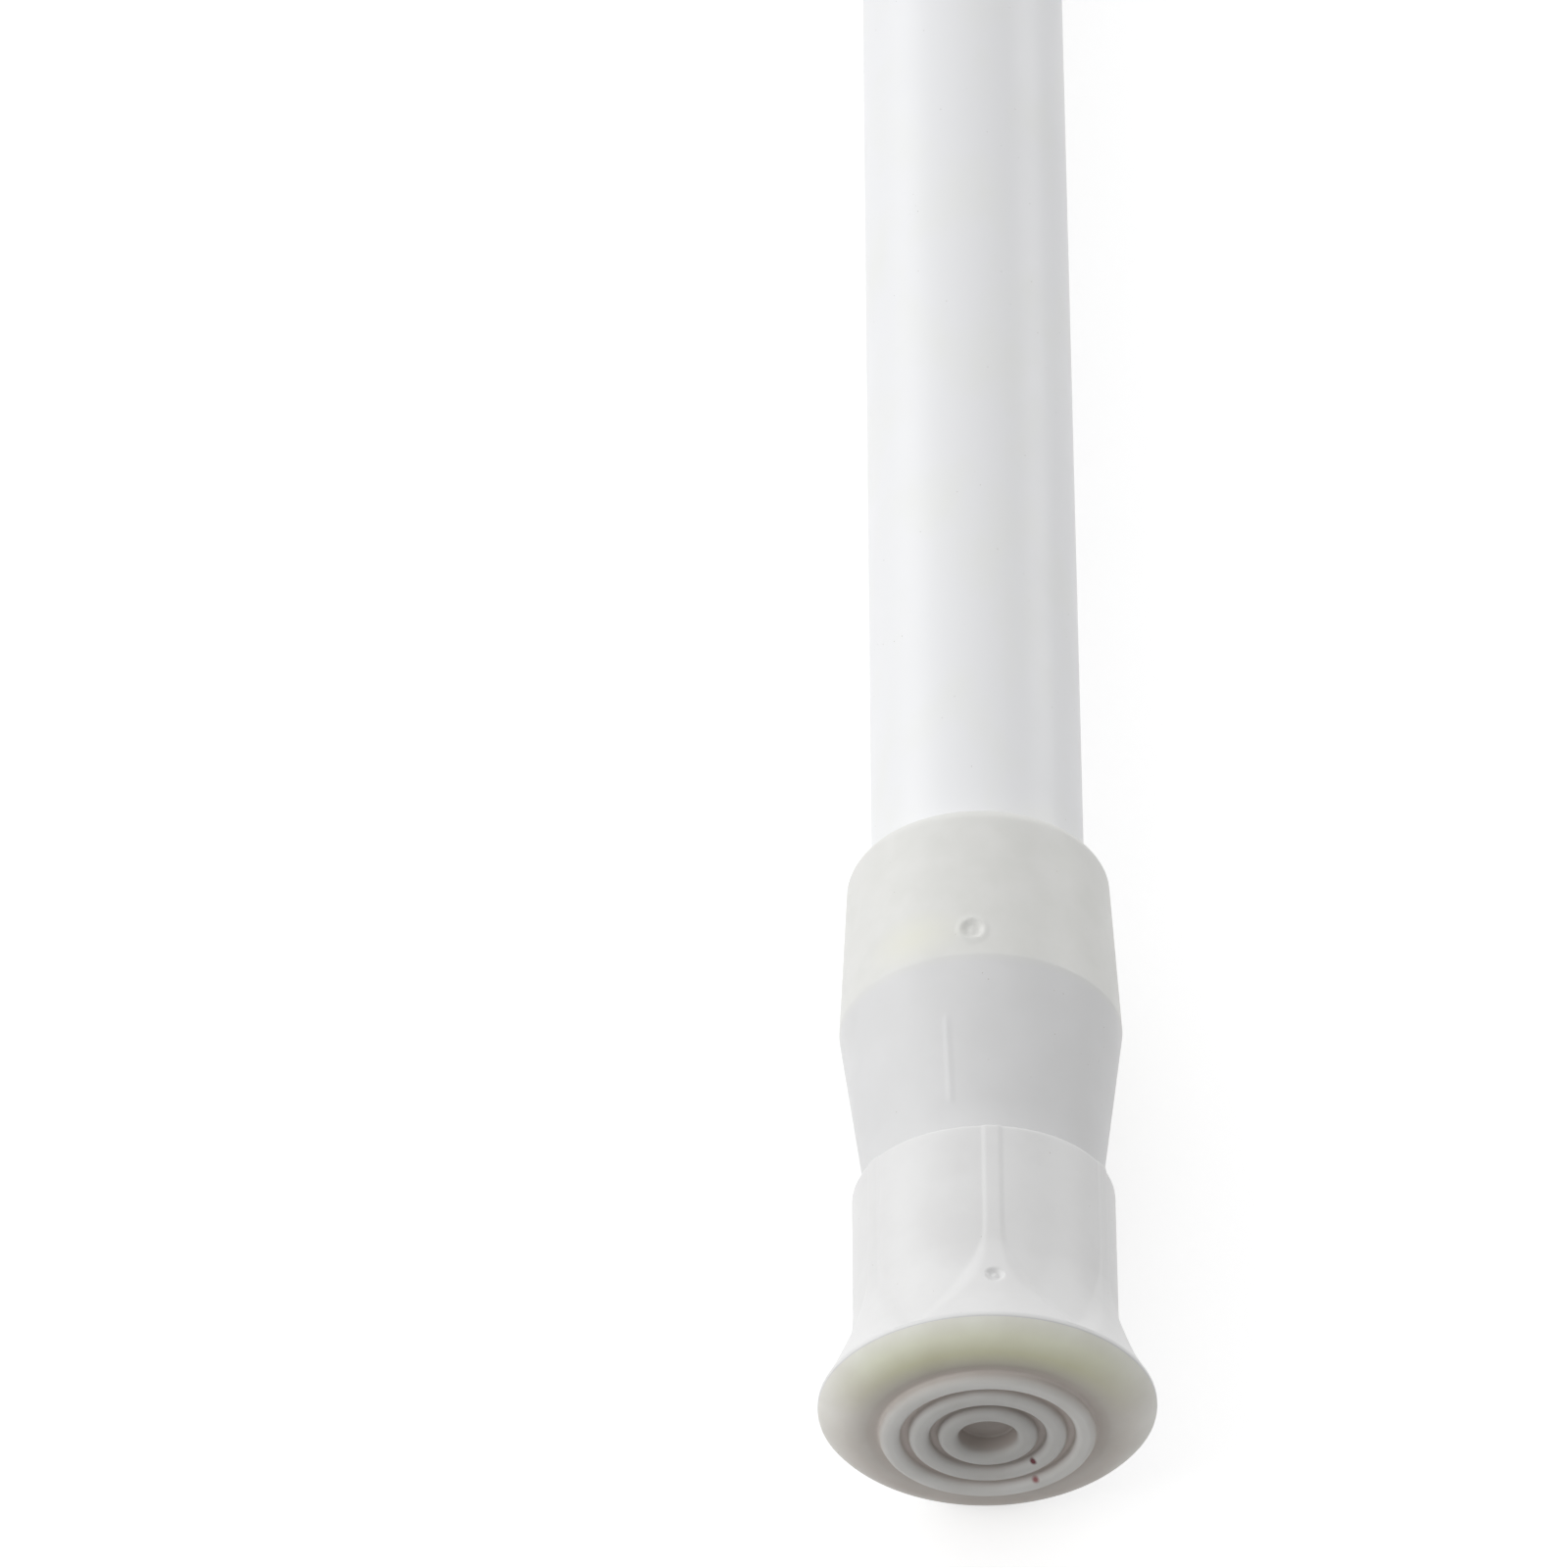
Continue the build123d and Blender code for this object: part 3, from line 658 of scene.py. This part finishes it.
class Shading:
    """A material's node tree with short calls for the nodes used here."""

    def __init__(self, name):
        self.material = bpy.data.materials.new(name)
        self.material.use_nodes = True
        self.tree = self.material.node_tree
        self.shader = self.tree.nodes["Principled BSDF"]
        self.place = self.add("ShaderNodeTexCoord").outputs["Object"]

    def add(self, kind, **settings):
        """A new node in this material, with these settings."""
        return add_node(self.tree, kind, **settings)

    def link(self, source, target):
        """Feeds an output to an input."""
        self.tree.links.new(source, target)

    def set(self, **values):
        """Sets inputs of the shader; an underscore stands for a space in a name."""
        for key, value in values.items():
            self.shader.inputs[key.replace("_", " ")].default_value = value

    def noise(self, size_mm, detail=2.0, stretch=None):
        """Noise whose lumps are about size_mm across, drawn out along the rod by stretch."""
        source = self.place
        if stretch:
            mapping = self.add("ShaderNodeMapping")
            mapping.inputs["Scale"].default_value = (1 / stretch, 1, 1)
            self.link(source, mapping.inputs["Vector"])
            source = mapping.outputs["Vector"]
        noise = self.add("ShaderNodeTexNoise")
        noise.inputs["Scale"].default_value = 1 / (size_mm * MM)
        noise.inputs["Detail"].default_value = detail
        self.link(source, noise.inputs["Vector"])
        return noise.outputs["Fac"]

    def ramp(self, source, stops):
        """A colour ramp of (place, (r, g, b)) stops."""
        ramp = self.add("ShaderNodeValToRGB")
        elements = ramp.color_ramp.elements
        while len(elements) < len(stops):
            elements.new(0.5)
        for element, (place, colour) in zip(elements, stops):
            element.position = place
            element.color = (*colour, 1)
        self.link(source, ramp.inputs["Fac"])
        return ramp.outputs["Color"]

    def spread(self, noise, low, high):
        """The usual range of a noise mapped to low to high."""
        mapped = self.add("ShaderNodeMapRange")
        mapped.inputs["From Min"].default_value = NOISE_LOW
        mapped.inputs["From Max"].default_value = NOISE_HIGH
        mapped.inputs["To Min"].default_value = low
        mapped.inputs["To Max"].default_value = high
        self.link(noise, mapped.inputs["Value"])
        return mapped.outputs["Result"]

    def mix(self, share, first, second, blend="MIX"):
        """Mixes two colours, or colour sources, by a share or a share source."""
        mix = self.add("ShaderNodeMix", data_type="RGBA", blend_type=blend)
        for index, value in ((MIX_SHARE, share), (MIX_FIRST, first), (MIX_SECOND, second)):
            socket = mix.inputs[index]
            if isinstance(value, bpy.types.NodeSocket):
                self.link(value, socket)
            elif isinstance(value, tuple):
                socket.default_value = (*value, 1)
            else:
                socket.default_value = value
        return mix.outputs[MIX_RESULT]

    def product(self, first, second):
        """Two sources multiplied."""
        product = self.add("ShaderNodeMath", operation="MULTIPLY")
        self.link(first, product.inputs[0])
        self.link(second, product.inputs[1])
        return product.outputs[0]

    def below(self, source, limit):
        """1 where the source is less than the limit, else 0."""
        test = self.add("ShaderNodeMath", operation="LESS_THAN")
        test.inputs[1].default_value = limit
        self.link(source, test.inputs[0])
        return test.outputs[0]

    def along(self):
        """The distance from the rod's middle along it, whichever way."""
        parts = self.add("ShaderNodeSeparateXYZ")
        self.link(self.place, parts.inputs[0])
        size = self.add("ShaderNodeMath", operation="ABSOLUTE")
        self.link(parts.outputs["X"], size.inputs[0])
        return size.outputs[0]

    def height(self):
        """The height above the rod's axis."""
        parts = self.add("ShaderNodeSeparateXYZ")
        self.link(self.place, parts.inputs[0])
        return parts.outputs["Z"]

    def distance(self, centre_mm, weights=(1, 1, 1)):
        """The distance from a point, with each axis weighed."""
        scaled = self.add("ShaderNodeVectorMath", operation="MULTIPLY_ADD")
        self.link(self.place, scaled.inputs[0])
        scaled.inputs[1].default_value = weights
        scaled.inputs[2].default_value = [-c * w * MM for c, w in zip(centre_mm, weights)]
        length = self.add("ShaderNodeVectorMath", operation="LENGTH")
        self.link(scaled.outputs[0], length.inputs[0])
        return length.outputs["Value"]

    def rise(self, source, start_mm, end_mm):
        """0 at start and 1 at end, and straight between them."""
        mapped = self.add("ShaderNodeMapRange")
        mapped.inputs["From Min"].default_value = start_mm * MM
        mapped.inputs["From Max"].default_value = end_mm * MM
        self.link(source, mapped.inputs["Value"])
        return mapped.outputs["Result"]

    def bump(self, source, height_mm, under=None):
        """Raises the surface by the source, on top of an earlier bump if one is given."""
        bump = self.add("ShaderNodeBump")
        bump.inputs["Strength"].default_value = 1.0
        bump.inputs["Distance"].default_value = height_mm * MM
        self.link(source, bump.inputs["Height"])
        if under:
            self.link(under, bump.inputs["Normal"])
        self.link(bump.outputs["Normal"], self.shader.inputs["Normal"])
        return bump.outputs["Normal"]

    def specks(self, size_mm, share):
        """1 on scattered specks of about size_mm, and 0 between them."""
        cells = self.add("ShaderNodeTexVoronoi")
        cells.inputs["Scale"].default_value = 1 / (size_mm * SPECK_CELL * MM)
        self.link(self.place, cells.inputs["Vector"])
        near = self.below(cells.outputs["Distance"], SPECK_REACH)
        pick = self.add("ShaderNodeSeparateColor")
        self.link(cells.outputs["Color"], pick.inputs["Color"])
        chosen = self.below(pick.outputs["Red"], share)
        return self.product(near, chosen)

    def finish(self, colour, roughness):
        """Feeds colour and roughness to the shader and gives the material."""
        self.link(colour, self.shader.inputs["Base Color"])
        self.link(roughness, self.shader.inputs["Roughness"])
        return self.material


def coated_steel():
    """Glossy white coating: faint orange peel, slow colour drift, warm clouds and fine dust."""
    s = Shading("white_coating")
    drift = s.ramp(
        s.noise(60, stretch=3), [(0.35, (0.855, 0.862, 0.88)), (0.65, (0.88, 0.886, 0.9))]
    )
    cloud = s.ramp(
        s.noise(8, 3, stretch=1.5), [(0.48, (1.0, 1.0, 1.0)), (0.72, (0.988, 0.99, 0.962))]
    )
    clouded = s.mix(1.0, drift, cloud, "MULTIPLY")
    colour = s.mix(s.specks(0.12, 0.10), clouded, (0.55, 0.54, 0.52))
    peel = s.bump(s.noise(2.2, 1.0, stretch=2), 0.006)
    s.bump(s.noise(0.35, 1.0), 0.0012, under=peel)
    s.set(Coat_Weight=0.25, Coat_Roughness=0.3)
    return s.finish(colour, s.spread(s.noise(9, 3), 0.38, 0.46))


def moulded(name, low, high, roughness, speck_share=0.06):
    """Satin moulded plastic with cloudy colour, a fine skin and a few specks."""
    s = Shading(name)
    cloud = s.ramp(s.noise(5, 4), [(0.35, low), (0.65, high)])
    colour = s.mix(s.specks(0.1, speck_share), cloud, SPECK_BROWN)
    return moulded_skin(s, colour, roughness)


def moulded_skin(s, colour, roughness):
    """Finishes a moulding's colour with a slow waviness, a fine grain and uneven gloss."""
    skin = s.bump(s.noise(3.5, 2.0), 0.014)
    s.bump(s.noise(0.22, 2.0), 0.0022, under=skin)
    return s.finish(colour, s.spread(s.noise(5, 3), roughness - 0.05, roughness + 0.06))


def collar_moulding():
    """The collar's plastic: mottled warm white on the socket, cooler on the cone, one stain."""
    s = Shading("collar_white")
    warm = s.ramp(s.noise(3.5, 4), [(0.35, (0.75, 0.752, 0.725)), (0.65, (0.78, 0.78, 0.757))])
    cool = s.ramp(s.noise(6, 4), [(0.35, (0.735, 0.736, 0.738)), (0.65, (0.76, 0.761, 0.765))])
    waist = COLLAR_BACK_X + COLLAR_WAIST_PLACE
    colour = s.mix(s.rise(s.along(), waist - 0.5, waist + 1.0), warm, cool)
    stain = s.rise(s.distance(STAIN_PLACE, STAIN_WEIGHTS), STAIN_RADIUS, STAIN_CORE)
    colour = s.mix(stain, colour, STAIN_COLOUR)
    colour = s.mix(s.specks(0.1, 0.06), colour, SPECK_BROWN)
    return moulded_skin(s, colour, 0.42)


def pad_tones(s, from_axis):
    """The pad's base colour by reach from the axis, with painted light and shade by height, and
    faint clouds.
    """
    reach = s.rise(from_axis, 0, PAD_RADIUS)
    painted_upper = s.ramp(reach, RING_TONES + UPPER_PAINTED_LIGHT_AND_SHADE_TONES)
    side = s.ramp(reach, RING_TONES + SIDE_TONES)
    painted_lower = s.ramp(reach, RING_TONES + LOWER_PAINTED_SHADE_TONES)
    # Painted light and shade by height: the upper tones on top, the side tones between, the
    # darker lower tones below
    base = s.mix(s.rise(s.height(), *UPPER_TO_SIDE), painted_upper, side)
    base = s.mix(s.rise(s.height(), *SIDE_TO_LOWER), base, painted_lower)
    cloud = s.ramp(s.noise(4.5, 3), [(0.3, (0.93, 0.92, 0.91)), (0.7, (1.0, 1.0, 1.0))])
    return s.mix(1.0, base, cloud, "MULTIPLY")


def soft_rubber():
    """Cream rubber, grey-brown on the rings, with painted light and shade: pale at the edge,
    yellow-green round the upper bulge, darker below and in the grooves.
    """
    s = Shading("pad_rubber_skin")
    from_axis = s.distance((0, 0, 0), (0, 1, 1))
    colour = pad_tones(s, from_axis)
    # Painted shade: tints the grooves and recess darker and browner the deeper they lie below the
    # rings' crowns
    groove_painted_shade = s.mix(1.0, colour, GROOVE_PAINTED_SHADE_TINT, "MULTIPLY")
    sunk = s.rise(s.along(), PAD_CROWN_X - 0.2, PAD_CROWN_X - PAD_HEIGHT + PAD_DOME)
    on_rings = s.rise(from_axis, PAD_DOME_RADIUS + 1, PAD_DOME_RADIUS - 1)
    colour = s.mix(s.product(sunk, on_rings), colour, groove_painted_shade)
    for place, core, speck_colour in PAD_SPECKS:
        speck = s.rise(s.distance(place), PAD_SPECK_RADIUS, core)
        colour = s.mix(speck, colour, speck_colour)
    colour = s.mix(s.specks(0.16, 0.05), colour, (0.20, 0.15, 0.13))
    skin = s.bump(s.noise(2.4, 2.0), 0.03)
    s.bump(s.noise(0.25, 2.0), 0.004, under=skin)
    return s.finish(colour, s.spread(s.noise(3, 3), 0.5, 0.62))


def bare_steel(name, low, high, roughness, stretch=4):
    """Plated or drawn steel with fine lines along the rod and cloudy gloss."""
    s = Shading(name)
    colour = s.ramp(s.noise(3, 3, stretch), [(0.3, low), (0.7, high)])
    lines = s.bump(s.noise(0.18, 2.0, stretch * 4), 0.003)
    s.bump(s.noise(1.2, 2.0), 0.004, under=lines)
    s.set(Metallic=1.0)
    return s.finish(colour, s.spread(s.noise(2, 3), roughness - 0.07, roughness + 0.09))


def dress_nodes(nodes, material):
    """Makes this material the only one of each of these CAD nodes."""
    for node in nodes:
        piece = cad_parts[node]
        piece.data.materials.clear()
        piece.data.materials.append(material)


# --- Floor, light and camera ---

def seen_directly(tree):
    """1 for camera, glossy and transmission rays, else 0."""
    path = tree.nodes.new("ShaderNodeLightPath")
    total = path.outputs["Is Camera Ray"]
    for other in ("Is Glossy Ray", "Is Transmission Ray"):
        largest = add_node(tree, "ShaderNodeMath", operation="MAXIMUM")
        tree.links.new(total, largest.inputs[0])
        tree.links.new(path.outputs[other], largest.inputs[1])
        total = largest.outputs[0]
    return total


def floor_paper():
    """A diffuse paper that glows a little for the eye only."""
    material = bpy.data.materials.new("floor_paper")
    material.use_nodes = True
    tree = material.node_tree
    tree.nodes.clear()
    seen = seen_directly(tree)
    tone = tree.nodes.new("ShaderNodeMapRange")
    tone.inputs["To Min"].default_value = FLOOR_BOUNCE
    tone.inputs["To Max"].default_value = FLOOR_TONE
    tree.links.new(seen, tone.inputs["Value"])
    diffuse = tree.nodes.new("ShaderNodeBsdfDiffuse")
    tree.links.new(tone.outputs["Result"], diffuse.inputs["Color"])
    lift = add_node(tree, "ShaderNodeMath", operation="MULTIPLY")
    lift.inputs[1].default_value = FLOOR_LIFT
    tree.links.new(seen, lift.inputs[0])
    glow = tree.nodes.new("ShaderNodeEmission")
    tree.links.new(lift.outputs[0], glow.inputs["Strength"])
    both = tree.nodes.new("ShaderNodeAddShader")
    tree.links.new(diffuse.outputs[0], both.inputs[0])
    tree.links.new(glow.outputs[0], both.inputs[1])
    output = tree.nodes.new("ShaderNodeOutputMaterial")
    tree.links.new(both.outputs[0], output.inputs["Surface"])
    return material


def make_floor():
    """A pale floor under the flanges that keeps the rod's shadow."""
    half = FLOOR_HALF
    height = -FLANGE_RADIUS * MM
    corners = [
        (-half, -half, height),
        (half, -half, height),
        (half, half, height),
        (-half, half, height),
    ]
    mesh = bpy.data.meshes.new("floor")
    mesh.from_pydata(corners, [], [(0, 1, 2, 3)])
    mesh.materials.append(floor_paper())
    floor = bpy.data.objects.new("floor", mesh)
    bpy.context.collection.objects.link(floor)


def make_world():
    """A white surround for the eye, whose light is brighter behind the thick tube's end."""
    world = bpy.data.worlds.new("surround")
    world.use_nodes = True
    tree = world.node_tree
    background = tree.nodes["Background"]
    background.inputs["Color"].default_value = (1, 1, 1, 1)
    way = tree.nodes.new("ShaderNodeTexCoord")
    lean = add_node(tree, "ShaderNodeVectorMath", operation="DOT_PRODUCT")
    lean.inputs[1].default_value = BRIGHT_SIDE
    tree.links.new(way.outputs["Generated"], lean.inputs[0])
    soft = tree.nodes.new("ShaderNodeMapRange")
    soft.inputs["From Min"].default_value = -1.0
    soft.inputs["To Min"].default_value = AMBIENT_LOW
    soft.inputs["To Max"].default_value = AMBIENT_HIGH
    tree.links.new(lean.outputs["Value"], soft.inputs["Value"])
    strength = tree.nodes.new("ShaderNodeMapRange")
    tree.links.new(soft.outputs["Result"], strength.inputs["To Min"])
    tree.links.new(seen_directly(tree), strength.inputs["Value"])
    tree.links.new(strength.outputs["Result"], background.inputs["Strength"])
    bpy.context.scene.world = world


def soft_lamp(name, place, target, size, power):
    """A square lamp that the camera doesn't see, aimed at the target."""
    lamp = bpy.data.lights.new(name, "AREA")
    lamp.shape = "SQUARE"
    lamp.size = size
    lamp.energy = power
    holder = bpy.data.objects.new(name, lamp)
    holder.location = place
    aim = Vector(target) - Vector(place)
    holder.rotation_mode = "QUATERNION"
    holder.rotation_quaternion = aim.to_track_quat("-Z", "Y")
    holder.visible_camera = False
    bpy.context.collection.objects.link(holder)


def make_camera():
    """The camera that sees the inner cap's rim where the picture has it."""
    cosine = math.cos(CAMERA_ELEVATION)
    sine = math.sin(CAMERA_ELEVATION)
    forward = Vector((-cosine, 0, -sine))
    level_up = Vector((-sine, 0, cosine))
    up = Quaternion(forward, CAMERA_ROLL) @ level_up
    right = forward.cross(up)
    rim = Vector((RIM_X, 0, 0))
    data = bpy.data.cameras.new("camera")
    data.sensor_width = SENSOR_WIDTH
    data.lens = FOCAL_PIXELS / PICTURE_SIZE * SENSOR_WIDTH
    data.clip_start = CLIP_START
    data.clip_end = CLIP_END
    camera = bpy.data.objects.new("camera", data)
    camera.location = (rim - right * RIM_RIGHT + up * RIM_DOWN - forward * RIM_DEPTH) * MM
    camera.rotation_mode = "QUATERNION"
    camera.rotation_quaternion = Matrix((right, up, -forward)).transposed().to_quaternion()
    bpy.context.collection.objects.link(camera)
    bpy.context.scene.camera = camera
    bpy.context.scene.view_settings.view_transform = "Standard"


# --- The rod ---

def build_rod():
    """Builds the outer skins and the spring, and dresses the nodes that keep their CAD form."""
    coating = coated_steel()
    cap_plastic = moulded("cap_white", (0.775, 0.773, 0.771), (0.81, 0.81, 0.808), 0.38)
    rubber = soft_rubber()
    tube(
        "outer_tube_skin",
        "outer_tube",
        "outer",
        -TUBE_STOP_X,
        COLLAR_SHOULDER_X,
        OUTER_TUBE_RADIUS,
        coating,
    )
    tube(
        "inner_tube_skin",
        "inner_tube",
        "inner",
        INNER_TUBE_END_X,
        TUBE_STOP_X,
        INNER_TUBE_RADIUS,
        coating,
    )
    joint_collar(collar_moulding())
    end_cap("outer_cap_skin", "outer_end_cap", "outer", 1, OUTER_TUBE_RADIUS, 0, cap_plastic)
    end_cap(
        "inner_cap_skin", "inner_end_cap", "inner", -1, INNER_TUBE_RADIUS, CAP_TURN, cap_plastic
    )
    wall_pad("outer_pad_skin", "outer_wall_pad", "outer", 1, rubber)
    wall_pad("inner_pad_skin", "inner_wall_pad", "inner", -1, rubber)
    plated = bare_steel("plated_steel", (0.42, 0.42, 0.405), (0.52, 0.51, 0.48), 0.3)
    spring(bare_steel("spring_steel", (0.30, 0.30, 0.31), (0.42, 0.41, 0.40), 0.30, 1.0))
    dress_nodes(("spring_washer", "spindle", "spindle_clip", "stop_washer", "stop_nut"), plated)
    guide = moulded("guide_plastic_skin", (0.62, 0.61, 0.57), (0.68, 0.67, 0.63), 0.42)
    dress_nodes(("glide_ring", "guide_bush", "spring_seat"), guide)
    dark = moulded("lock_plastic_skin", (0.035, 0.036, 0.038), (0.05, 0.05, 0.052), 0.45, 0)
    dress_nodes(("lock_sleeve", "lock_cone"), dark)


build_rod()
make_floor()
make_world()
for lamp_settings in LAMPS:
    soft_lamp(*lamp_settings)
make_camera()
